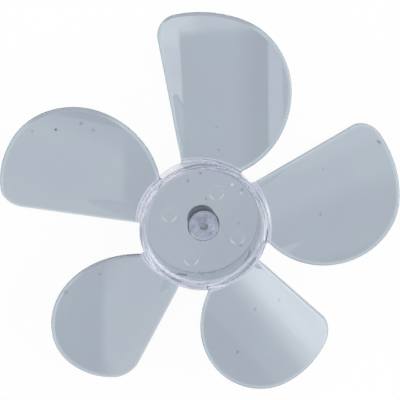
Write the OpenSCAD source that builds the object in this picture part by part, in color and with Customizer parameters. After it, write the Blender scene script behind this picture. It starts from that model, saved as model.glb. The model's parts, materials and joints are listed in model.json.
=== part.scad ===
// Five-bladed fan wheel, moulded in one piece of clear plastic.
// The fan's axis is Z. Z = 0 is the hub's rear end, where the motor shaft enters the boss.
// The blades curve like pieces of a tube that lies across the wheel, with its line along each blade.

/* [Wheel] */
// Diameter of the circle that the blade tips sweep
fan_d = 160; // [130:1:200]
// Number of blades
blade_count = 5; // [3:1:6]

/* [Hub] */
// Outer diameter of the hub's wall
hub_d = 50; // [40:0.5:62]
// Height of the hub's wall
hub_h = 16.4; // [12:0.2:22]
// Thickness of the hub's wall
hub_wall = 1.25; // [0.9:0.05:2.4]
// Depth of the shallow recess between the front rim and the disc
recess_depth = 4.6; // [2.5:0.1:7]
// Thickness of the disc that closes the hub
disc_t = 1.4; // [1:0.1:2.4]
// Fillet where the disc's front meets the wall
front_fillet = 1.5; // [0.5:0.1:2.4]
// Fillet where the disc's back meets the wall
rear_fillet = 1; // [0.5:0.1:2.4]

/* [Boss] */
// Diameter of the boss
boss_d = 12; // [8:0.1:18]
// Diameter of the bore for the motor shaft
bore_d = 3.2; // [2:0.05:6]
// How far the boss stops short of the hub's rear end
boss_setback = 0; // [0:0.1:3]
// Fillet where the boss meets the disc
boss_fillet = 0.4; // [0.2:0.1:2]

/* [Blade section] */
// Thickness of a blade
blade_t = 1.3; // [0.9:0.05:2.4]
// Radius that the blade is bent to, at the middle of its thickness
bend_r = 70; // [60:0.5:90]
// Distance of the bend's crest line from the blade's own middle line
crest_x = 34.3; // [30:0.1:38]
// Height of the crest above the hub's rear end
crest_z = 16.6; // [14:0.1:18]

/* [Blade outline] */
// Distance of the straight edge from the blade's middle line, level with the axis
trail_x = 3.8; // [2:0.1:8]
// Lean of the straight edge away from the middle line, in degrees
trail_lean = 7.5; // [4:0.1:10]
// Radius of the corner between the straight edge and the tip
corner_r = 7; // [3:0.1:12]
// Angle past the middle line at which the tip leaves the swept circle, in degrees
tip_lead = 4.2; // [2:0.1:6]
// Radius of the shoulder beside the tip
shoulder_r = 50; // [44:0.5:58]
// Angle that the shoulder turns through, in degrees
shoulder_turn = 25.8; // [20:0.1:30]
// Radius of the round edge's outer half
round_r = 28; // [24:0.5:32]
// Angle that the round edge's outer half turns through, in degrees
round_turn = 73.8; // [66:0.1:80]
// Direction in which the round edge's inner half meets the hub, in degrees from the middle line
round_root = 32; // [26:0.5:36]

/* [Ejector marks] */
// Diameter of the four marks on the disc's back
mark_d = 5.6; // [3:0.1:7]
// Radius of the circle that the marks lie on
mark_circle_r = 14.4; // [10:0.1:18]
// Depth of a mark
mark_depth = 0.15; // [0.05:0.05:0.3]
// Direction of the first mark, in degrees
mark_angle = 67; // [0:1:90]

/* [Hidden] */
$fn = 96;
hub_r = hub_d / 2;
inner_r = hub_r - hub_wall;
// The blades end halfway into the hub's wall
root_r = hub_r - hub_wall / 2;
disc_front = hub_h - recess_depth;
disc_back = disc_front - disc_t;
tip_r = fan_d / 2;
// The straight edge heads outward, leaning away from the middle line
trail_heading = 90 + trail_lean;
trail_dir = [cos(trail_heading), sin(trail_heading)];
trail_left = [-trail_dir.y, trail_dir.x];
// The corner's centre lies corner_r inside the straight edge and inside the tip circle
corner_foot = [-trail_x, 0] - corner_r * trail_left;
corner_run = -corner_foot * trail_dir
    + sqrt(pow(corner_foot * trail_dir, 2) - corner_foot * corner_foot + pow(tip_r - corner_r, 2));
corner_centre = corner_foot + corner_run * trail_dir;
corner_angle = atan2(corner_centre.y, corner_centre.x);
corner_turn = trail_heading - (corner_angle - 90);
tip_turn = corner_angle - 90 - tip_lead;
// Lengths and counts that only help the construction
foot_r = inner_r / 2;
sheet_fn = 360;
clear_cut = 1;

// Points of an arc of radius r that starts at p, heads in direction h and turns to the right
function arc_points(p, h, r, turn, n) =
    [for (i = [1:n]) p + r * [sin(h) - sin(h - turn * i / n), cos(h - turn * i / n) - cos(h)]];

// Points of the right-hand arc that starts at p in direction h and ends at target
function arc_to(p, h, target, n) =
    let (chord = target - p, bend = h - atan2(chord.y, chord.x), half = bend - 360 * floor(bend / 360))
    arc_points(p, h, norm(chord) / (2 * sin(half)), 2 * half, n);

function last(list) = list[len(list) - 1];

// Outline of one blade seen from the front, its middle line along +Y.
// It runs out along the straight edge, round the tip and back into the hub's wall.
function blade_outline() =
    let (
        foot = [-trail_x, 0] + foot_r * trail_dir,
        touch = corner_centre + corner_r * trail_left,
        corner = arc_points(touch, trail_heading, corner_r, corner_turn, 10),
        h1 = trail_heading - corner_turn,
        tip = arc_points(last(corner), h1, tip_r, tip_turn, 4),
        h2 = h1 - tip_turn,
        shoulder = arc_points(last(tip), h2, shoulder_r, shoulder_turn, 10),
        h3 = h2 - shoulder_turn,
        side = arc_points(last(shoulder), h3, round_r, round_turn, 18),
        h4 = h3 - round_turn,
        root = arc_to(last(side), h4, root_r * [sin(round_root), cos(round_root)], 12)
    )
    concat([foot, touch], corner, tip, shoulder, side, root);

// Concave fillet profile in the corner at p, towards the quadrant q
module fillet_profile(p, r, q) {
    difference() {
        translate([min(p.x, p.x + q.x * r), min(p.y, p.y + q.y * r)]) square(r);
        translate(p + r * q) circle(r);
    }
}

module hub_profile() {
    translate([inner_r, 0]) square([hub_wall, hub_h]);
    translate([0, disc_back]) square([inner_r + hub_wall / 2, disc_t]);
    translate([0, boss_setback]) square([boss_d / 2, disc_back + disc_t / 2 - boss_setback]);
    fillet_profile([inner_r, disc_front], front_fillet, [-1, 1]);
    fillet_profile([inner_r, disc_back], rear_fillet, [-1, -1]);
    fillet_profile([boss_d / 2, disc_back], boss_fillet, [1, -1]);
}

module hub() {
    rotate_extrude() hub_profile();
}

// One blade: the bent sheet, cut to the outline
module blade() {
    intersection() {
        translate([0, 0, crest_z - bend_r]) linear_extrude(bend_r * 2) polygon(blade_outline());
        translate([crest_x, 0, crest_z - bend_r]) rotate([-90, 0, 0]) difference() {
            cylinder(r = bend_r + blade_t / 2, h = fan_d, $fn = sheet_fn);
            translate([0, 0, -clear_cut])
                cylinder(r = bend_r - blade_t / 2, h = fan_d + 2 * clear_cut, $fn = sheet_fn);
        }
    }
}

module blades() {
    difference() {
        for (i = [0:blade_count - 1]) rotate(i * 360 / blade_count) blade();
        translate([0, 0, -fan_d]) cylinder(r = root_r, h = 2 * fan_d);
    }
}

module ejector_marks() {
    for (i = [0:3]) rotate(mark_angle + i * 90)
        translate([mark_circle_r, 0, disc_back - clear_cut])
            cylinder(d = mark_d, h = clear_cut + mark_depth);
}

module fan_blade() {
    color([0.72, 0.77, 0.83, 0.6]) difference() {
        union() {
            hub();
            blades();
        }
        translate([0, 0, -clear_cut]) cylinder(d = bore_d, h = hub_h + 2 * clear_cut);
        ejector_marks();
    }
}

fan_blade();
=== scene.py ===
# %% [markdown]
# # A clear plastic fan wheel
#
# The object is the fan wheel of a small appliance: five broad blades round a cup-shaped hub, moulded in
# one shot of clear plastic. This lesson builds it with the tools a modeller would use by hand, then gives
# it a clear plastic that shows thickness, edges and a little wear.
#
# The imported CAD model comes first. It is the frame: it says where the wheel lies and how big it is.

import json
import math

import bmesh
import bpy
from mathutils import Matrix, Vector
from mathutils.kdtree import KDTree

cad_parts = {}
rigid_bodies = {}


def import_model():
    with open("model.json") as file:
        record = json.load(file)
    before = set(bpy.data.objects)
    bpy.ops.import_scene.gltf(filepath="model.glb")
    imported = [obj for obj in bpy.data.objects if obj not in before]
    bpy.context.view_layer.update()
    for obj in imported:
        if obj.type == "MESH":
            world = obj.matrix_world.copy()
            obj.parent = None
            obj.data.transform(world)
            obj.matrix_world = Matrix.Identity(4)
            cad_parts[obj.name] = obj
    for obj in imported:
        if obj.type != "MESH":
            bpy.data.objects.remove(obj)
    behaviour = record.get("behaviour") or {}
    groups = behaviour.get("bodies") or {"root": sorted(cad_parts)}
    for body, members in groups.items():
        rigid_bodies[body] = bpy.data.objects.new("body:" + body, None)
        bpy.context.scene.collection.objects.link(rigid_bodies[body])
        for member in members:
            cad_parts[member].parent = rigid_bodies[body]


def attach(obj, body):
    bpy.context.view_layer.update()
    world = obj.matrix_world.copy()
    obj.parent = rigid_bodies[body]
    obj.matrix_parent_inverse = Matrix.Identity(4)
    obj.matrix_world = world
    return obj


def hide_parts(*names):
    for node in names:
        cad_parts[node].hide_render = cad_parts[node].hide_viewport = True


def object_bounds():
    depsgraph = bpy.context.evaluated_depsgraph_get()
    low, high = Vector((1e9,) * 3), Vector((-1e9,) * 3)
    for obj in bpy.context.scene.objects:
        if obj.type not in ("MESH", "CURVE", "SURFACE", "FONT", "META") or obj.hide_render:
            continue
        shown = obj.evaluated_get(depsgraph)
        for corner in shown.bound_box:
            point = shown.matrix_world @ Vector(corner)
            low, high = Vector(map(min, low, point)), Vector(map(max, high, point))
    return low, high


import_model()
cad_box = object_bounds()
print("CAD box in metres:", [list(corner) for corner in cad_box])

# %% [markdown]
# ## Small helpers
#
# By hand, a modeller clicks on the faces or edges to work on. Here `pick` does the clicking: it selects
# what passes a test on its place or its normal, and deselects all the rest. `combine` runs a boolean with a
# second solid. Everything is drawn in millimetres and shrunk to metres at the very end, because round
# numbers are easier to follow.

# %% Helpers for selecting and for combining solids
MM = 0.001


def deselect_all():
    for thing in bpy.context.view_layer.objects:
        thing.select_set(False)


def make_active(piece):
    deselect_all()
    piece.select_set(True)
    bpy.context.view_layer.objects.active = piece


def edit(piece):
    make_active(piece)
    bpy.ops.object.mode_set(mode="EDIT")


def leave_edit():
    bpy.ops.object.mode_set(mode="OBJECT")


def pick(kind, test):
    """Selects the verts, edges or faces of the edited mesh that pass a test."""
    data = bpy.context.object.data
    mesh = bmesh.from_edit_mesh(data)
    mesh.normal_update()
    for part in (*mesh.verts, *mesh.edges, *mesh.faces):
        part.select = False
    found = [part for part in getattr(mesh, kind) if test(part)]
    for part in found:
        part.select = True
    mesh.select_flush_mode()
    bmesh.update_edit_mesh(data)


def combine(piece, tool, operation):
    """Adds a second solid or cuts with it, then throws the second solid away."""
    boolean = piece.modifiers.new("combine", "BOOLEAN")
    boolean.operation = operation
    boolean.solver = "MANIFOLD"
    boolean.object = tool
    make_active(piece)
    bpy.ops.object.modifier_apply(modifier="combine")
    bpy.data.objects.remove(tool)


def radius_of(point):
    return math.hypot(point.x, point.y)


# %% [markdown]
# ## The camera
#
# The photograph looks down on the wheel from the front, tilted by about fifteen degrees. The camera
# comes first, so that each later step can be compared with the photograph at once. Its distance follows
# from how strongly the blades nearer the lens look bigger than those further away.

# %% Put the camera where the photographer stood
TILT_X, TILT_Y, SPIN = (math.radians(angle) for angle in (14.18, 4.64, 3.34))
HUB_PIXEL = (203.1, 224.0)
IMAGE_CENTRE = 200.0
DISTANCE_PIXELS = 500.0
PIXEL_MM = 0.4
HUB_MIDDLE_Z = 8.0
FOCAL_LENGTH, SENSOR_WIDTH = 45, 36

tilt = math.hypot(TILT_X, TILT_Y)
turn = Matrix.Rotation(tilt, 3, Vector((TILT_X, TILT_Y, 0)).normalized()) @ Matrix.Rotation(SPIN, 3, "Z")
offset = Vector((IMAGE_CENTRE - HUB_PIXEL[0], HUB_PIXEL[1] - IMAGE_CENTRE, DISTANCE_PIXELS))
place = turn.transposed() @ offset * PIXEL_MM + Vector((0, 0, HUB_MIDDLE_Z))

lens = bpy.data.cameras.new("camera")
lens.lens = FOCAL_LENGTH
lens.sensor_width = SENSOR_WIDTH
camera = bpy.data.objects.new("camera", lens)
bpy.context.scene.collection.objects.link(camera)
camera.matrix_world = Matrix.Translation(place * MM) @ turn.transposed().to_4x4()
bpy.context.scene.camera = camera
print("camera at", [round(v, 4) for v in camera.matrix_world.translation])

# %% [markdown]
# ## The hub, as a turned section
#
# The hub is round, so its section is drawn once and spun. The section starts as a single point that is
# extruded from corner to corner. A vertex bevel then rounds each corner with its own radius: big ones
# where the disc meets the walls, as a mould needs, and small ones on the free edges. The bore runs right
# through, so the section never touches the axis and the spun hub has no pole.

# %% Draw the section of the hub
HUB_R, HUB_H, WALL = 25.0, 16.4, 1.25
RECESS, DISC_T = 4.6, 1.4
BOSS_R, BORE_R = 6.0, 1.6
INNER_R = HUB_R - WALL
DISC_FRONT = HUB_H - RECESS
DISC_BACK = DISC_FRONT - DISC_T
FREE_EDGE, BORE_EDGE, BOSS_EDGE = 0.4, 0.25, 0.15
FRONT_FILLET, REAR_FILLET, BOSS_FILLET = 1.5, 1.0, 0.4
FILLET_STEPS, EDGE_STEPS = 10, 5
SAME_PLACE = 0.01

# Each corner is a radius, a height and a rounding
section = [
    (BORE_R, 0, BORE_EDGE),
    (BOSS_R, 0, BOSS_EDGE),
    (BOSS_R, DISC_BACK, BOSS_FILLET),
    (INNER_R, DISC_BACK, REAR_FILLET),
    (INNER_R, 0, FREE_EDGE),
    (HUB_R, 0, FREE_EDGE),
    (HUB_R, HUB_H, FREE_EDGE),
    (INNER_R, HUB_H, FREE_EDGE),
    (INNER_R, DISC_FRONT, FRONT_FILLET),
    (BORE_R, DISC_FRONT, BORE_EDGE),
]


def start_point(at):
    """A new piece that is a single selected vertex."""
    deselect_all()
    bpy.ops.mesh.primitive_plane_add(size=1, location=at)
    bpy.ops.object.transform_apply(location=True)
    bpy.ops.object.mode_set(mode="EDIT")
    bpy.ops.mesh.merge(type="CENTER")
    return bpy.context.object


def pen():
    """Where the selected end of the drawn line is."""
    mesh = bmesh.from_edit_mesh(bpy.context.object.data)
    return next(v.co.copy() for v in mesh.verts if v.select)


def line_to(point):
    bpy.ops.mesh.extrude_region_move(TRANSFORM_OT_translate={"value": tuple(Vector(point) - pen())})


hub = start_point((section[0][0], 0, section[0][1]))
hub.name = "fan_wheel"
for r, z, _ in section[1:]:
    line_to((r, 0, z))
bpy.ops.mesh.select_all(action="SELECT")
bpy.ops.mesh.edge_face_add()
for r, z, rounding in section:
    pick("verts", lambda v: math.hypot(v.co.x - r, v.co.z - z) < SAME_PLACE)
    steps = FILLET_STEPS if rounding > FREE_EDGE else EDGE_STEPS
    bpy.ops.mesh.bevel(affect="VERTICES", offset=rounding, segments=steps, profile=0.5)
bpy.ops.mesh.select_all(action="SELECT")
bpy.ops.mesh.delete(type="ONLY_FACE")
print("section points:", len(bmesh.from_edit_mesh(hub.data).verts))

# %% Spin the section round the axis
HUB_STEPS = 240
MERGE_GAP = 0.001

bpy.ops.mesh.select_all(action="SELECT")
bpy.ops.mesh.spin(steps=HUB_STEPS, angle=2 * math.pi, center=(0, 0, 0), axis=(0, 0, 1))
bpy.ops.mesh.select_all(action="SELECT")
bpy.ops.mesh.remove_doubles(threshold=MERGE_GAP)
bpy.ops.mesh.normals_make_consistent(inside=False)
leave_edit()
print("hub faces:", len(hub.data.polygons))

# %% [markdown]
# ## Ejector marks
#
# Four pins push the moulding out of its mould, and each leaves a shallow round dent on the back of the
# disc. An inset can't follow a circle across the spun faces, so each dent is a boolean cut with a short pin
# whose end has a rounded edge.

# %% Press the four marks into the disc's back
MARKS, FIRST_MARK = 4, 67.0
MARK_R, MARK_CIRCLE_R, MARK_DEPTH = 2.8, 14.4, 0.15
PIN_LENGTH, PIN_SIDES = 2.0, 64
PIN_ROUNDING, PIN_STEPS = 0.1, 3


def unit(degrees):
    return Vector((math.cos(math.radians(degrees)), math.sin(math.radians(degrees)), 0))


def mark_centre(mark):
    return unit(FIRST_MARK + 360 / MARKS * mark) * MARK_CIRCLE_R


for mark in range(MARKS):
    centre = mark_centre(mark)
    deselect_all()
    bpy.ops.mesh.primitive_cylinder_add(
        vertices=PIN_SIDES, radius=MARK_R, depth=PIN_LENGTH,
        location=(centre.x, centre.y, DISC_BACK + MARK_DEPTH - PIN_LENGTH / 2),
    )
    pin = bpy.context.object
    edit(pin)
    pick("edges", lambda e: all(v.co.z > PIN_LENGTH / 2 - SAME_PLACE for v in e.verts))
    bpy.ops.mesh.bevel(offset=PIN_ROUNDING, segments=PIN_STEPS, profile=0.5)
    leave_edit()
    combine(hub, pin, "DIFFERENCE")
print("hub faces with marks:", len(hub.data.polygons))

# %% [markdown]
# ## One blade, drawn flat
#
# A blade is a sheet with a curious outline: one straight edge, a small corner, the big circle of the
# tips, and two round stretches back to the hub. Each stretch is an arc, so the outline is drawn as
# with a pair of compasses: the end point is spun about the centre of the arc. Working flat keeps this
# easy, and the blade gets its bend afterwards.

# %% Draw the outline with lines and arcs
BLADE_T = 1.3
STRAIGHT_X, LEAN = 3.8, 7.5
CORNER_R, TIP_R, TIP_LEAD = 7.0, 80.0, 4.2
SHOULDER_R, SHOULDER_TURN = 50.0, 25.8
ROUND_R, ROUND_TURN = 28.0, 73.8
ROOT_AT, ROOT_R = 32.0, HUB_R - WALL / 2
FOOT_R = INNER_R / 2
CORNER_STEPS, TIP_STEPS, SHOULDER_STEPS, ROUND_STEPS, ROOT_STEPS = 16, 8, 16, 32, 24
OUTLINE_STEP = 0.3


def left_of(heading):
    return unit(heading + 90)


def arc(heading, r, turned, steps):
    """Spins the drawn end along a right-hand arc, and returns the new heading."""
    centre = pen() - left_of(heading) * r
    bpy.ops.mesh.spin(steps=steps, angle=math.radians(turned), center=tuple(centre), axis=(0, 0, 1))
    return heading - turned


straight = 90 + LEAN
along, aside = unit(straight), left_of(straight)
foot = Vector((-STRAIGHT_X, 0, 0))
corner_foot = foot - aside * CORNER_R
run = -corner_foot.dot(along) + math.sqrt(
    corner_foot.dot(along) ** 2 - corner_foot.length_squared + (TIP_R - CORNER_R) ** 2
)
corner_centre = corner_foot + along * run
corner_direction = math.degrees(math.atan2(corner_centre.y, corner_centre.x))

blade = start_point(foot + along * FOOT_R)
line_to(corner_centre + aside * CORNER_R)
heading = arc(straight, CORNER_R, straight - (corner_direction - 90), CORNER_STEPS)
heading = arc(heading, TIP_R, corner_direction - 90 - TIP_LEAD, TIP_STEPS)
heading = arc(heading, SHOULDER_R, SHOULDER_TURN, SHOULDER_STEPS)
heading = arc(heading, ROUND_R, ROUND_TURN, ROUND_STEPS)
chord = unit(90 - ROOT_AT) * ROOT_R - pen()
half_turn = (heading - math.degrees(math.atan2(chord.y, chord.x))) % 360
root_arc_r = chord.length / (2 * math.sin(math.radians(half_turn)))
arc(heading, root_arc_r, 2 * half_turn, ROOT_STEPS)
bpy.ops.mesh.select_all(action="SELECT")
bpy.ops.mesh.edge_face_add()
bpy.ops.mesh.normals_make_consistent(inside=False)
mesh = bmesh.from_edit_mesh(blade.data)
outline = []
for edge in mesh.edges:
    a, b = (v.co for v in edge.verts)
    count = math.ceil((b - a).length / OUTLINE_STEP)
    outline += [a.lerp(b, k / count) for k in range(count)]
print("outline points:", len(mesh.verts), "and with points between them:", len(outline))

# %% [markdown]
# ## Thickness and the rounded rim
#
# The flat face is extruded into a thin slab, then each side is inset again and again, every step a little
# less high than the one before. The steps follow a quarter of an ellipse, which gives the soft, thinning
# rim that catches the light all round a moulded blade. A bevel could only give it one round radius.

# %% Give the blade its thickness and rim
RIM_WIDTH, RIM_LAND, RIM_STEPS = 1.6, 0.16, 6
NEARLY_FLAT, NEARLY_UPRIGHT = 0.9, 0.05

if bmesh.from_edit_mesh(blade.data).faces[:][0].normal.z < 0:
    bpy.ops.mesh.flip_normals()
bpy.ops.mesh.extrude_region_move(TRANSFORM_OT_translate={"value": (0, 0, RIM_LAND)})
bpy.ops.mesh.select_all(action="SELECT")
bpy.ops.transform.translate(value=(0, 0, -RIM_LAND / 2))
bpy.ops.mesh.normals_make_consistent(inside=False)
rise = (BLADE_T - RIM_LAND) / 2
for side in (1, -1):
    pick("faces", lambda f: f.normal.z * side > NEARLY_FLAT)
    for step in range(RIM_STEPS):
        a, b = (math.pi / 2 * (step + k) / RIM_STEPS for k in (0, 1))
        bpy.ops.mesh.inset(
            thickness=RIM_WIDTH * (math.cos(a) - math.cos(b)), depth=rise * (math.sin(b) - math.sin(a))
        )
leave_edit()
print("blade faces:", len(blade.data.polygons))

# %% [markdown]
# ## The root
#
# A blade doesn't just run into its hub: it thickens over the last millimetre and a half, because a sharp
# inner corner would crack. The slab is cut off on a circle just outside the hub, the cut is opened, and
# its edge loop is extruded inwards ring by ring. Each ring is made a little higher and wider than the
# last one, along a quarter circle, so the blade flares into the wall.

# %% Cut the blade off in front of the hub, and flare its root
FILLET = 1.6
FLARE_STEPS = 7
FLARE_REACH = 5.0
ROOT_DEPTH = 0.35

deselect_all()
base = HUB_R + FILLET
cut_r = base + SAME_PLACE
bpy.ops.mesh.primitive_cylinder_add(vertices=HUB_STEPS, radius=base, depth=3 * BLADE_T)
combine(blade, bpy.context.object, "DIFFERENCE")
edit(blade)
pick("faces", lambda f: abs(f.normal.z) < NEARLY_UPRIGHT and radius_of(f.calc_center_median()) < cut_r)
bpy.ops.mesh.delete(type="FACE")
pick("edges", lambda e: e.is_boundary)
loop = bmesh.from_edit_mesh(blade.data)
ends = [math.atan2(v.co.y, v.co.x) for v in loop.verts if v.select]
first_end, last_end = min(ends), max(ends)


def flare(gap):
    """How much the root has grown on each side, this far from the hub."""
    return FILLET - math.sqrt(max(FILLET**2 - (FILLET - gap) ** 2, 0))


previous = (base, 0.0)
rings = [FILLET * (1 - math.sin(math.pi / 2 * (k + 1) / FLARE_STEPS)) for k in range(FLARE_STEPS)]
for gap in [*rings, -ROOT_DEPTH]:
    now = (HUB_R + gap, flare(max(gap, 0)))
    bpy.ops.mesh.extrude_region_move()
    mesh = bmesh.from_edit_mesh(blade.data)
    for v in mesh.verts:
        if v.select:
            r, direction = radius_of(v.co), math.atan2(v.co.y, v.co.x)
            first, last = (direction - first_end) * base, (last_end - direction) * base
            spread = now[1] - previous[1]
            if first < last:
                direction -= spread * max(1 - max(first, 0) / FLARE_REACH, 0) ** 2 / base
            else:
                direction += spread * max(1 - max(last, 0) / FLARE_REACH, 0) ** 2 / base
            r *= now[0] / previous[0]
            height = v.co.z * (BLADE_T / 2 + now[1]) / (BLADE_T / 2 + previous[1])
            v.co = Vector((r * math.cos(direction), r * math.sin(direction), height))
    bmesh.update_edit_mesh(blade.data)
    previous = now
bpy.ops.mesh.edge_face_add()
bpy.ops.mesh.select_all(action="SELECT")
bpy.ops.mesh.normals_make_consistent(inside=False)
mesh = bmesh.from_edit_mesh(blade.data)
print("open edges after the flare:", sum(not e.is_manifold for e in mesh.edges))

# %% [markdown]
# ## The bend
#
# Seen along its length, each blade is a piece of a big tube that lies across the wheel. The flat blade is
# first sliced into narrow strips with bisect, so that it has enough points to bend. Then every point is
# lifted to the height of the tube at its place. A bend modifier would pull the outline sideways, while
# this keeps the outline exactly as it was drawn.

# %% Slice the blade and lift it onto the tube
BEND_R, CREST_X, CREST_Z = 70.0, 34.3, 16.6
STRIP = 1.5
STRIP_SPAN = (-14, 44)
# Keeps the cuts off points that are already there
CUT_SHIFT, CUT_TOUCH = 0.013, 1e-5

x = STRIP_SPAN[0]
while x < STRIP_SPAN[1]:
    bpy.ops.mesh.select_all(action="SELECT")
    bpy.ops.mesh.bisect(plane_co=(x + CUT_SHIFT, 0, 0), plane_no=(1, 0, 0), threshold=CUT_TOUCH)
    x += STRIP
mesh = bmesh.from_edit_mesh(blade.data)
for v in mesh.verts:
    v.co.z = CREST_Z - BEND_R + math.sqrt((BEND_R + v.co.z) ** 2 - (v.co.x - CREST_X) ** 2)
bmesh.update_edit_mesh(blade.data)
print("open edges:", sum(not e.is_manifold for e in mesh.edges), "faces:", len(mesh.faces))
leave_edit()

# %% [markdown]
# ## Five blades on one hub
#
# The finished blade is copied and turned by a fifth of a circle at a time. A boolean union then makes one
# solid of hub and blades, as the mould does. This matters more for clear plastic than for any other
# finish: faces left inside a clear wall would show.
#
# Smooth shading averages the normals of a long strip and of the narrow rim steps beside it, which would tilt
# all that the blade mirrors. A Weighted Normal modifier lets the big faces decide instead.

# %% Copy the blade round the hub and fuse everything
BLADES = 5
SMOOTH_BELOW = 32

for number in range(1, BLADES):
    make_active(blade)
    bpy.ops.object.duplicate()
    copy = bpy.context.object
    copy.data.transform(Matrix.Rotation(2 * math.pi * number / BLADES, 4, "Z"))
    combine(hub, copy, "UNION")
combine(hub, blade, "UNION")
make_active(hub)
hub.data.transform(Matrix.Scale(MM, 4))
bpy.ops.object.shade_smooth_by_angle(angle=math.radians(SMOOTH_BELOW))
weighted = hub.modifiers.new("weighted", "WEIGHTED_NORMAL")
weighted.keep_sharp = True
bpy.ops.object.modifier_apply(modifier="weighted")
wheel = hub
mesh = bmesh.new()
mesh.from_mesh(wheel.data)
print("wheel faces:", len(mesh.faces), "open edges:", sum(not e.is_manifold for e in mesh.edges))
print("volume in mm3:", round(mesh.calc_volume() / MM**3, 1))
mesh.free()

# %% [markdown]
# ## Marking the rims
#
# On the real wheel every rim differs from the sheet behind it: its slope bends the light another way. Here
# that light is painted into the colour: most rims get a painted highlight, a little paler than the sheet, and
# the ones that face the top of the picture get a painted shade, darker than the sheet. The material needs to
# know where the rims are. They could be painted by hand, but the outline is known, so two float attributes on
# the points say so exactly: how close a point is to the outline of its blade, and how far the rim faces the
# top of the picture.

# %% Write how close to a rim each point is
# No blade reaches further clockwise from its middle line than this many degrees
BLADE_REACH = 52
SMALLEST = 1e-6


def own_turn(point):
    """The turn that brings this blade to the place of the first one."""
    behind = math.degrees(math.atan2(point.y, point.x)) - (90 - BLADE_REACH)
    return Matrix.Rotation(-2 * math.pi * (behind % 360 // (360 / BLADES)) / BLADES, 3, "Z")


near_outline = KDTree(len(outline))
for number, point in enumerate(outline):
    near_outline.insert((point.x, point.y, 0), number)
near_outline.balance()

rims = wheel.data.attributes.new("rim", "FLOAT", "POINT")
top_rims = wheel.data.attributes.new("shaded_top_rim", "FLOAT", "POINT")
for number, v in enumerate(wheel.data.vertices):
    turned = own_turn(v.co)
    p = turned @ v.co / MM
    if radius_of(p) < HUB_R + FILLET:
        continue
    gap = near_outline.find((p.x, p.y, 0))[2]
    sheet_normal = Vector((p.x - CREST_X, 0, p.z - CREST_Z + BEND_R)).normalized()
    normal = turned @ v.normal
    outward = turned.transposed() @ (normal - sheet_normal * normal.dot(sheet_normal))
    rims.data[number].value = max(1 - gap / RIM_WIDTH, 0)
    if gap < RIM_WIDTH:
        top_rims.data[number].value = outward.y / max(outward.length, SMALLEST)
print("rim points:", sum(item.value > 0.1 for item in rims.data))

# %% [markdown]
# ## Shader maths in Python
#
# A material is a graph of nodes. Writing `a * b + c` is easier to read than three nodes and their links,
# so one small class wraps a socket and lets Python's own operators add Math nodes. Everything else, such
# as a noise or a mix, comes from one method.

# %% A small class for shader expressions


class Value:
    """A socket of a shader graph, which Python's operators turn into Math nodes."""

    def __init__(self, graph, socket):
        self.graph, self.socket = graph, socket

    def maths(self, operation, *values):
        return self.graph.node("ShaderNodeMath", {"operation": operation}, dict(enumerate(values)))

    def __add__(self, other):
        return self.maths("ADD", self, other)

    def __sub__(self, other):
        return self.maths("SUBTRACT", self, other)

    def __rsub__(self, other):
        return self.maths("SUBTRACT", other, self)

    def __mul__(self, other):
        return self.maths("MULTIPLY", self, other)

    __radd__, __rmul__ = __add__, __mul__

    def above(self, low, high):
        """0 below low, 1 above high, and smooth between them."""
        inputs = {"Value": self, "From Min": low, "From Max": high}
        return self.graph.node("ShaderNodeMapRange", {"interpolation_type": "SMOOTHSTEP"}, inputs, "Result")

    def or_else(self, other):
        return self.maths("MAXIMUM", self, other)


class Graph:
    """The node tree of a material or the world."""

    def __init__(self, owner):
        owner.use_nodes = True
        self.tree = owner.node_tree
        self.tree.nodes.clear()

    def node(self, kind, settings=None, inputs=None, output=0):
        made = self.tree.nodes.new(kind)
        for name, setting in (settings or {}).items():
            setattr(made, name, setting)
        for name, given in (inputs or {}).items():
            if isinstance(given, Value):
                self.tree.links.new(given.socket, made.inputs[name])
            else:
                made.inputs[name].default_value = given
        return Value(self, made.outputs[output]) if len(made.outputs) else made

    def vector(self, operation, a, b=None, output=0):
        """A Vector Math node on one or two vectors."""
        inputs = {0: a} if b is None else {0: a, 1: b}
        return self.node("ShaderNodeVectorMath", {"operation": operation}, inputs, output)

    def parts(self, vector):
        """The X, Y and Z of a vector."""
        split = self.node("ShaderNodeSeparateXYZ", inputs={0: vector})
        return [Value(self, output) for output in split.socket.node.outputs]

    def seen_rays(self):
        """1 for the rays that show a background: straight, mirrored, or through clear plastic."""
        rays = self.node("ShaderNodeLightPath").socket.node.outputs
        camera_ray, mirrored, through = (
            Value(self, rays[kind]) for kind in ("Is Camera Ray", "Is Glossy Ray", "Is Transmission Ray")
        )
        return camera_ray.or_else(mirrored).or_else(through)


def band(value, low, high, fade):
    """1 between two values, and fading to 0 outside them."""
    return value.above(low - fade, low) * (1 - value.above(high, high + fade))


# %% [markdown]
# ## Clear plastic
#
# The real wheel is clear, with a cool grey cast. A full transmission with the index of a styrene plastic
# gives the bending of light at edges and fillets, and the cast is the base colour. One flat tint would look
# like a computer's idea of glass, because the tint and the milkiness of a moulding differ from place to
# place. They could be painted by hand, but masks worked out from the position stay sharp at any distance
# and need no unwrapping. So each place gets a mask: 1 inside it, 0 outside it, and soft at its border.
# Lengths in the material are in millimetres, as in the drawing above.

# %% Start the material, and measure where a point is
PER_MM = 1 / MM

plastic = bpy.data.materials.new("clear_plastic")
g = Graph(plastic)
here = g.node("ShaderNodeTexCoord", output="Object")
flat = g.vector("MULTIPLY", here, (1, 1, 0))
radius = g.vector("LENGTH", flat, output="Value") * PER_MM
right, up, height = (part * PER_MM for part in g.parts(here))


def noise(scale, detail):
    inputs = {"Vector": here, "Scale": scale, "Detail": detail}
    return g.node("ShaderNodeTexNoise", inputs=inputs, output="Fac")


def blend(factor, a, b):
    return g.node("ShaderNodeMix", {"data_type": "RGBA"}, {"Factor": factor, 6: a, 7: b}, 2)


def gap_to(x, y):
    """How far a point is from a place, seen along the axis, in metres."""
    return g.vector("DISTANCE", flat, (x * MM, y * MM, 0), "Value")
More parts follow.
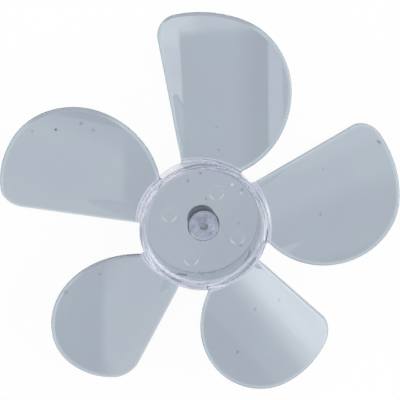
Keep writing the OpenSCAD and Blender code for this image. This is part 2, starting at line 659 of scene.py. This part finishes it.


# %% [markdown]
# ## Places on the blades and the hub
#
# The rims come from the two attributes written above. The hub's places follow from the radius and the height:
# the outer skin of its wall, the inner wall of the recess, the round corner where the disc meets that wall,
# and the bore. The wall's lower side is kept clearer than the rest, because there the eye looks through the
# disc at the inside of the wall; this clearer tint paints that side lighter.

# %% Mask the rims and the parts of the hub
RIM_RAMP, EDGE_RAMP, TOP_RAMP = (0.0, 0.3), (0.7, 0.95), (0.78, 0.92)
WALL_FADE = 0.5
CORNER_REACH, CORNER_RISE, CORNER_FADE = 1.5, 1.6, 0.1
DOWNWARD, UP_LEFT = (0.31, -0.95), (-0.77, 0.64)
UPPER_CORNER_LOSS, LOWER_WALL_LOSS = 0.7, 0.8



def reach(direction):
    """How far a point lies from the axis in a direction of the picture, in millimetres."""
    return right * direction[0] + up * direction[1]


to_edge = g.node("ShaderNodeAttribute", {"attribute_name": "rim"}, output="Fac")
facing_top = g.node("ShaderNodeAttribute", {"attribute_name": "shaded_top_rim"}, output="Fac")
rim, sharp_edge = to_edge.above(*RIM_RAMP), to_edge.above(*EDGE_RAMP)
shaded_top_rim = rim * facing_top.above(*TOP_RAMP)

hub_wall = band(radius, INNER_R, HUB_R + FILLET, WALL_FADE)
cup_inside = (1 - radius.above(INNER_R + 0.4, HUB_R - 0.2)) * (1 - height.above(DISC_FRONT, DISC_FRONT + 1))
lower_side = reach(DOWNWARD).above(-3, 5) * (1 - height.above(DISC_BACK, DISC_FRONT))
recess_inside = 1 - radius.above(INNER_R + 0.2, INNER_R + 0.6)
recess_inside = recess_inside * height.above(DISC_FRONT + 1, DISC_FRONT + 1.5)
outer_skin = hub_wall * (1 - cup_inside) * (1 - lower_side * LOWER_WALL_LOSS) * (1 - recess_inside)

corner = band(radius, INNER_R - CORNER_REACH, INNER_R, 2 * CORNER_FADE)
corner = corner * band(height, DISC_FRONT - 0.1, DISC_FRONT + CORNER_RISE, CORNER_FADE)
corner = corner * (1 - up.above(8, 16) * UPPER_CORNER_LOSS)
bore_wall = 1 - radius.above(BORE_R + 0.05, BORE_R + 0.35)

# %% [markdown]
# ## Places on the boss
#
# Over the boss the wheel looks like a milky coin with a dark line along its upper side, where the side of the
# boss is seen through the disc. A patch with its own outline is the simplest way to draw a coin that isn't
# quite centred, so it lies on the front of the disc, a little off the axis. The dark line along its edge and
# the side of the boss below it are painted shade, nearly black and on the upper side only, and get a mask
# each.

# %% Mask the patch over the boss, and the painted shade of its line and its side
PATCH_SHIFT, PATCH_R = 0.75, BOSS_R + 0.1
LINE_WIDTH, LINE_FADE = 0.1, 0.25
SIDE_RISE = (-6.0, 9.0)

patch_gap = gap_to(0, PATCH_SHIFT) * PER_MM
boss_face = 1 - patch_gap.above(PATCH_R - 0.4, PATCH_R - LINE_WIDTH)
boss_face = boss_face * height.above(DISC_FRONT - 0.4, DISC_FRONT - 0.2)
boss_top = (up - right * 0.16).above(-2.4, -0.4)
boss_shade_line = band(patch_gap, PATCH_R - LINE_WIDTH, PATCH_R, LINE_FADE) * boss_top
boss_side_shade = band(radius, BOSS_R, BOSS_R, LINE_WIDTH) * height.above(*SIDE_RISE) * boss_top

# %% [markdown]
# ## The ejector marks' edges
#
# A shallow dent in clear plastic shows mainly as a thin bright line on the side that faces the light, here
# the lower right and the lower left. The geometry alone gives too faint a line at this size, so a pale ring
# with a brighter lower side is painted along each dent's edge.

# %% Mask the edges of the marks
RING, RING_FADE = (0.94, 1.04), 0.1
RING_BASE, RING_BRIGHT = 0.2, 0.8

mark_edge = 0
for mark in range(MARKS):
    from_mark = g.vector("SUBTRACT", flat, mark_centre(mark) * MM)
    across, down = (part * (PER_MM / MARK_R) for part in g.parts(from_mark)[:2])
    across, down = across.maths("ABSOLUTE", across), down * -1
    from_centre = across.maths("SQRT", across * across + down * down)
    lit_side = across.above(0.1, 0.6) * down.above(0.0, 0.5)
    ring = band(from_centre, *RING, RING_FADE) * (lit_side * RING_BRIGHT + RING_BASE)
    mark_edge = ring.or_else(mark_edge)
mark_edge = mark_edge * (1 - height.above(DISC_BACK + 0.3, DISC_BACK + 0.5))

# %% [markdown]
# ## Specks
#
# The wheel isn't new. A few specks of dirt and dark inclusions are scattered over the blades and the disc,
# the disc and the boss carry small painted glints, pale spots painted in as highlights, and the milky patch
# over the boss has blotches. A noise would put them anywhere, so each is a soft dot at a place in
# millimetres: its x, its y, its radius and its strength. A dot looks the same from both sides, as a speck in
# clear plastic does.

# %% Place the specks, the painted glints and the blotches of the boss
SPECKS = [
    (-51.6, 41.5, 0.8, 1.0), (-42.4, 43.2, 1.1, 0.35), (-60.0, 41.3, 0.9, 0.3), (-38.5, 40.6, 1.1, 0.25),
    (72.4, 28.2, 0.8, 1.0), (46.2, 2.2, 0.7, 0.5), (49.3, 19.0, 0.6, 0.4), (30.9, -36.9, 0.8, 0.5),
    (19.6, -37.7, 0.9, 0.4), (11.1, -53.8, 0.8, 0.6), (-55.0, -20.8, 1.2, 0.4), (-41.4, -14.8, 0.8, 0.3),
    (6.7, 38.7, 0.6, 0.4), (7.1, 30.0, 0.6, 0.4), (-0.3, 21.4, 0.8, 0.5), (-5.3, 18.8, 1.1, 0.35),
    (14.4, -9.0, 0.8, 0.45), (1.3, 11.2, 0.7, 0.45), (-2.6, -19.2, 0.7, 0.4), (-1.5, -20.0, 0.7, 0.35),
    (1.7, -19.7, 0.8, 0.35), (2.9, -19.7, 0.7, 0.4), (15.6, 13.8, 1.0, 0.4), (13.9, 0.4, 0.6, 0.35),
]
GLINTS = [
    (11.8, 16.1, 0.8, 0.8), (15.2, 12.6, 0.9, 0.4), (3.8, -0.7, 1.2, 0.9), (3.5, -1.6, 0.9, 0.7),
    (-3.0, -4.3, 0.9, 0.6), (3.0, -4.4, 0.9, 0.6), (0.2, 2.3, 0.8, 0.6), (1.1, 2.5, 0.8, 0.6),
]
BLOTCHES = [
    (0.9, 4.2, 2.6, 0.8), (2.8, 3.9, 2.2, 0.7), (-2.4, 3.6, 2.6, 0.7), (-4.4, 0.4, 2.4, 0.7),
    (-1.4, 0.6, 2.2, 0.7), (-1.2, -1.3, 2.0, 0.6), (2.5, -2.8, 1.6, 0.9), (4.6, 2.7, 1.5, 0.8),
    (-3.2, -2.6, 1.8, 0.4),
]


def dots(places):
    """The strength of each (x, y, radius, strength) dot inside it, and 0 outside them all."""
    shade = 0
    for x, y, size, strength in places:
        shade = ((1 - gap_to(x, y).above(0, size * MM)) * strength).or_else(shade)
    return shade


specks, glints, blotches = dots(SPECKS), dots(GLINTS), dots(BLOTCHES)
print("specks:", len(SPECKS), "nicks:", len(GLINTS), "blotches:", len(BLOTCHES))

# %% [markdown]
# ## The tint
#
# The tint is put on in layers, as a painter would: first the sheet of the blades with its slow clouds, then
# the disc, the rims, the hub's wall, and the small places last. Much of this layering is painted light: the
# rims and parts of the wall are painted paler than the sheets, as painted highlights where the real plastic
# gathers light, the rims that face the top of the picture are painted darker as painted shade, and the glints
# are painted highlights. Fine scuffs blur the plastic a little, and slow waves in its skin bend what it
# mirrors, as on any moulding.

# %% Layer the tints and the painted light, and make the clear shader
TINT = (0.432, 0.491, 0.554, 1.0)
DEEPER_TINT = (0.427, 0.477, 0.548, 1.0)
DISC_TINT = (0.444, 0.495, 0.565, 1.0)
RIM_HIGHLIGHT_TINT, TOP_RIM_SHADE_TINT = (0.50, 0.575, 0.64, 1.0), (0.38, 0.415, 0.485, 1.0)
WALL_TINT, HIGHLIGHT_TINT = (0.43, 0.475, 0.62, 1.0), (0.84, 0.87, 1.0, 1.0)
MARK_TINT = (0.95, 0.95, 1.0, 1.0)
CUP_TINT, RECESS_AND_RIM_HIGHLIGHT_TINT = (0.96, 0.975, 0.99, 1.0), (0.84, 0.88, 0.98, 1.0)
BORE_TINT = (0.52, 0.58, 0.66, 1.0)
SPECK_TINT = (0.10, 0.09, 0.10, 1.0)
CLOUD_SCALE, SCUFF_SCALE, WAVE_SCALE = 60.0, 300.0, 45.0
SMOOTH_ROUGHNESS, SCUFF_ROUGHNESS = 0.04, 0.015
WAVE_STRENGTH, WAVE_DEPTH = 0.25, 0.0001
OUTER_HIGHLIGHT = 0.7
PLASTIC_INDEX = 1.55

clouds = noise(CLOUD_SCALE, 2.0).above(0.35, 0.65)
tint_and_painted_light = blend(clouds, TINT, DEEPER_TINT)
tint_and_painted_light = blend(radius.above(INNER_R - 2, INNER_R), blend(mark_edge, DISC_TINT, MARK_TINT), tint_and_painted_light)
# The rims: a painted highlight, paler than the sheet, and a painted shade on the rims that face the top of
# the picture
tint_and_painted_light = blend(rim, tint_and_painted_light, blend(shaded_top_rim, RIM_HIGHLIGHT_TINT, TOP_RIM_SHADE_TINT))
# The hub's wall: a painted highlight on its upper left and on its outermost edge, and almost no tint on its
# lower side and in the cup, which paints them lighter
outermost = radius.above(HUB_R + 0.1, HUB_R + 0.4) * OUTER_HIGHLIGHT
wall_highlight = reach(UP_LEFT).above(19.5, 23).or_else(outermost)
wall_tint_and_highlight = blend(outer_skin, CUP_TINT, blend(wall_highlight, WALL_TINT, HIGHLIGHT_TINT))
# A painted highlight on the lower half of the front rim, in the same pale tint as the recess wall
low_rim_highlight = (0 - up).above(0, 10) * height.above(HUB_H - 0.3, HUB_H - 0.1)
wall_tint_and_highlight = blend(recess_inside.or_else(low_rim_highlight), wall_tint_and_highlight, RECESS_AND_RIM_HIGHLIGHT_TINT)
tint_and_painted_light = blend(hub_wall, tint_and_painted_light, wall_tint_and_highlight)
# A painted highlight on the left side of the round corner where the disc meets the wall
left_corner_highlight = corner * (0 - right).above(-5, 10)
# The glints are painted highlights, in the same pale tint
tint_and_painted_light = blend(left_corner_highlight.or_else(glints), tint_and_painted_light, HIGHLIGHT_TINT)
tint_and_painted_light = blend(bore_wall, tint_and_painted_light, BORE_TINT)
tint_and_painted_light = blend(specks, tint_and_painted_light, SPECK_TINT)
scuffs = noise(SCUFF_SCALE, 2.0).above(0.4, 0.8)
waves = g.node(
    "ShaderNodeBump",
    inputs={"Strength": WAVE_STRENGTH, "Distance": WAVE_DEPTH, "Height": noise(WAVE_SCALE, 1.0)},
)
clear = g.node(
    "ShaderNodeBsdfPrincipled",
    inputs={
        "Base Color": tint_and_painted_light,
        "Roughness": scuffs * SCUFF_ROUGHNESS + SMOOTH_ROUGHNESS,
        "Normal": waves,
        "IOR": PLASTIC_INDEX,
        "Transmission Weight": 1.0,
    },
)

# %% [markdown]
# ## Where the plastic is frosted
#
# No moulding is polished all over. The thin rims, the wall of the hub, the bore and above all the end of the
# boss have a skin that scatters a part of the light. Raising the roughness of the clear plastic there would
# blur what lies behind it without making it milky. So each of those places gets a share of a second, matt
# shader, mixed in by its mask. The same matt shader also carries the painted shade, nearly black, along the
# upper side of the boss.

# %% Frost the rims, the wall, the patch over the boss and the bore, and lay the boss's painted shade
FROST, EDGE_FROST = (0.74, 0.77, 0.92, 1.0), (0.44, 0.49, 0.55, 1.0)
BOSS_HAZE, BOSS_DARK_HAZE = (0.70, 0.73, 0.97, 1.0), (0.26, 0.29, 0.44, 1.0)
PAINTED_BOSS_SHADE, BORE_HAZE = (0.05, 0.06, 0.10, 1.0), (0.54, 0.62, 0.76, 1.0)
MOTTLE_SCALE, MOTTLE_STRENGTH = 420.0, 0.5
EDGE_SHARE, SKIN_SHARE, CORNER_SHARE, FACE_SHARE = 0.4, 0.15, 0.25, 0.6
LINE_SHARE, SIDE_SHARE, BORE_SHARE = 0.5, 0.6, 0.6
FROST_ROUGHNESS = 0.5

mottled = (noise(MOTTLE_SCALE, 3.0).above(0.4, 0.65) * MOTTLE_STRENGTH).or_else(blotches)
haze_and_shade = blend(sharp_edge, FROST, EDGE_FROST)
haze_and_shade = blend(boss_face, haze_and_shade, blend(mottled, BOSS_HAZE, BOSS_DARK_HAZE))
haze_and_shade = blend(bore_wall, haze_and_shade, BORE_HAZE)
# Painted shade: the boss's upper line and side turn nearly black
haze_and_shade = blend(boss_side_shade.or_else(boss_shade_line), haze_and_shade, PAINTED_BOSS_SHADE)
frost = g.node(
    "ShaderNodeBsdfPrincipled",
    inputs={"Base Color": haze_and_shade, "Roughness": FROST_ROUGHNESS, "IOR": PLASTIC_INDEX},
)
frosted_and_shaded = (sharp_edge * EDGE_SHARE).or_else(outer_skin * SKIN_SHARE).or_else(corner * CORNER_SHARE)
frosted_and_shaded = frosted_and_shaded.or_else(boss_face * (1 - glints) * FACE_SHARE)
# The boss's line and side take a share of the matt shader for their painted shade
frosted_and_shaded = frosted_and_shaded.or_else(boss_shade_line * LINE_SHARE).or_else(boss_side_shade * SIDE_SHARE)
frosted_and_shaded = frosted_and_shaded.or_else(bore_wall * BORE_SHARE)
surface = g.node("ShaderNodeMixShader", inputs={0: frosted_and_shaded, 1: clear, 2: frost})
g.node("ShaderNodeOutputMaterial", inputs={"Surface": surface})
wheel.data.materials.clear()
wheel.data.materials.append(plastic)
print("nodes in the plastic:", len(g.tree.nodes))

# %% [markdown]
# ## Say what stands for what
#
# The wheel rides on the one body of the frame, takes the place of the CAD solid, and names the material
# slot that it takes its finish from.

# %% Tie the wheel to the frame
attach(wheel, "root")
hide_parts("fan_blade")

# %% [markdown]
# ## The floor
#
# The wheel lies on a pale floor. Clear plastic shows whatever is behind it, so the floor has to be white for
# rays that come through the plastic or off its gloss too, and not only for the camera. For all other rays it
# is plain paper, so it throws no extra light on the wheel. The white is a glow with a dark paper under it,
# which still takes the wheel's shadow.

# %% Lay the floor
FLOOR_SIZE = 6.0
FLOOR_GAP = 0.0001
WHITE = (1, 1, 1, 1)
PAPER, SHADED_PAPER = (0.8, 0.8, 0.8, 1), (0.12, 0.12, 0.12, 1)
PAPER_GLOW = 0.93

deselect_all()
bpy.ops.mesh.primitive_plane_add(size=FLOOR_SIZE, location=(0, 0, cad_box[0].z - FLOOR_GAP))
floor = bpy.context.object
floor.name = "floor"
paper = bpy.data.materials.new("paper_floor")
ground = Graph(paper)
plain = ground.node("ShaderNodeBsdfDiffuse", inputs={"Color": PAPER})
shaded = ground.node("ShaderNodeBsdfDiffuse", inputs={"Color": SHADED_PAPER})
glow = ground.node("ShaderNodeEmission", inputs={"Color": WHITE, "Strength": PAPER_GLOW})
bright = ground.node("ShaderNodeAddShader", inputs={0: shaded, 1: glow})
surface = ground.node("ShaderNodeMixShader", inputs={0: ground.seen_rays(), 1: plain, 2: bright})
ground.node("ShaderNodeOutputMaterial", inputs={"Surface": surface})
floor.data.materials.append(paper)
print("floor height in metres:", round(floor.data.vertices[0].co.z + floor.location.z, 5))

# %% [markdown]
# ## A white tent for light
#
# Glossy things are photographed in a white tent, and all that the wheel mirrors is that tent. Area lamps
# would each show as a hard square in the blades, so the world plays the tent: pale cloth all round, with
# soft lamps behind it, a strong one on the right and weaker ones on the left and at the top. The top blade
# mirrors a dark opening with pale cloth round it, and the two blades on the left mirror a dark wedge
# between two seams of the cloth. The ceiling and one patch of cloth are dim. A direction is written as an
# azimuth and an angle from straight up, or as the parts x and y of a unit vector, towards the right and
# towards the top of the picture.

# %% Set up the tent's shapes
CLOTH, OPENING = 1.0, 0.35

world = bpy.data.worlds.new("tent")
bpy.context.scene.world = world
sky = Graph(world)
ray = sky.node("ShaderNodeTexCoord", output="Generated")
x_part, y_part = sky.parts(ray)[:2]


def spot(azimuth, polar, core, edge):
    """1 within core degrees of a direction, and fading to 0 at edge degrees."""
    out = math.sin(math.radians(polar))
    middle = unit(azimuth) * out + Vector((0, 0, math.cos(math.radians(polar))))
    near = sky.vector("DOT_PRODUCT", ray, middle, "Value")
    return near.above(math.cos(math.radians(edge)), math.cos(math.radians(core)))


def pane(left, right, low, high, fade):
    """1 where the ray's x lies between left and right, and its y between low and high."""
    return band(x_part, left, right, fade) * band(y_part, low, high, fade)


# %% Light the tent
# Azimuth, angle from straight up, core and edge in degrees, then the strength
LAMPS = [(8, 78, 8, 40, 2.35), (7, 60, 3, 12, 0.6), (177, 72, 12, 24, 0.9), (92, 72, 10, 24, 0.45)]
# Left, right, low, high and fade, then the strength
PANES = [
    (-1.05, -0.88, -0.2, 0.063, 0.02, 0.25),
    (-1.05, 0.02, 0.063, 0.2, 0.02, 0.65),
    (-0.06, 0.11, -0.14, 0.063, 0.03, 0.95),
]
OPENING_PANE = (-0.90, -0.05, -0.2, 0.063, 0.02)

light = CLOTH
for *place, strength in LAMPS:
    light = light + spot(*place) * strength
for *place, strength in PANES:
    light = light + pane(*place) * strength
opening = pane(*OPENING_PANE)
light = light * (1 - opening) + opening * OPENING

# %% Darken the wedge, the ceiling and one patch of cloth
DIM_CEILING, CEILING_LOSS = (-15, 12, 14, 40), 0.65
DIM_PATCH, PATCH_LOSS = (-59, 29, 8, 19), 0.95
WEDGE_LOSS, MIDDLE_LOSS = 0.78, 0.15

left_seam = (x_part - y_part * 0.274).above(-0.06, -0.048)
lower_left_seam = (x_part * 0.8 + y_part * 0.6).above(-0.26, -0.225)
wedge = left_seam * (1 - lower_left_seam) * (1 - y_part.above(-0.32, -0.2)) * x_part.above(-0.31, -0.27)
wedge = wedge * (x_part.above(-0.15, 0.0) * MIDDLE_LOSS + WEDGE_LOSS)
patch = spot(*DIM_PATCH) * y_part.above(-0.56, -0.48) * PATCH_LOSS
light = light - (spot(*DIM_CEILING) * CEILING_LOSS).or_else(patch).or_else(wedge)

# %% [markdown]
# ## What the tent does to matt things, and how far light goes
#
# Matt surfaces get only a part of the tent's strength, so that they aren't washed out. Light can run a long
# way inside clear plastic before it gets out again. With the usual limit it is given up on the way, which
# leaves black streaks in the blades' edges, so the limit is raised.

# %% Finish the world
SHARE_FOR_MATT = 0.6
BOUNCES = 48

strength = light * (sky.seen_rays() * (1 - SHARE_FOR_MATT) + SHARE_FOR_MATT)
tent = sky.node("ShaderNodeBackground", inputs={"Color": WHITE, "Strength": strength})
sky.node("ShaderNodeOutputWorld", inputs={"Surface": tent})
bpy.context.scene.view_settings.view_transform = "Standard"
for limit in ("max_bounces", "transmission_bounces", "glossy_bounces"):
    setattr(bpy.context.scene.cycles, limit, BOUNCES)
print("nodes in the tent:", len(sky.tree.nodes))
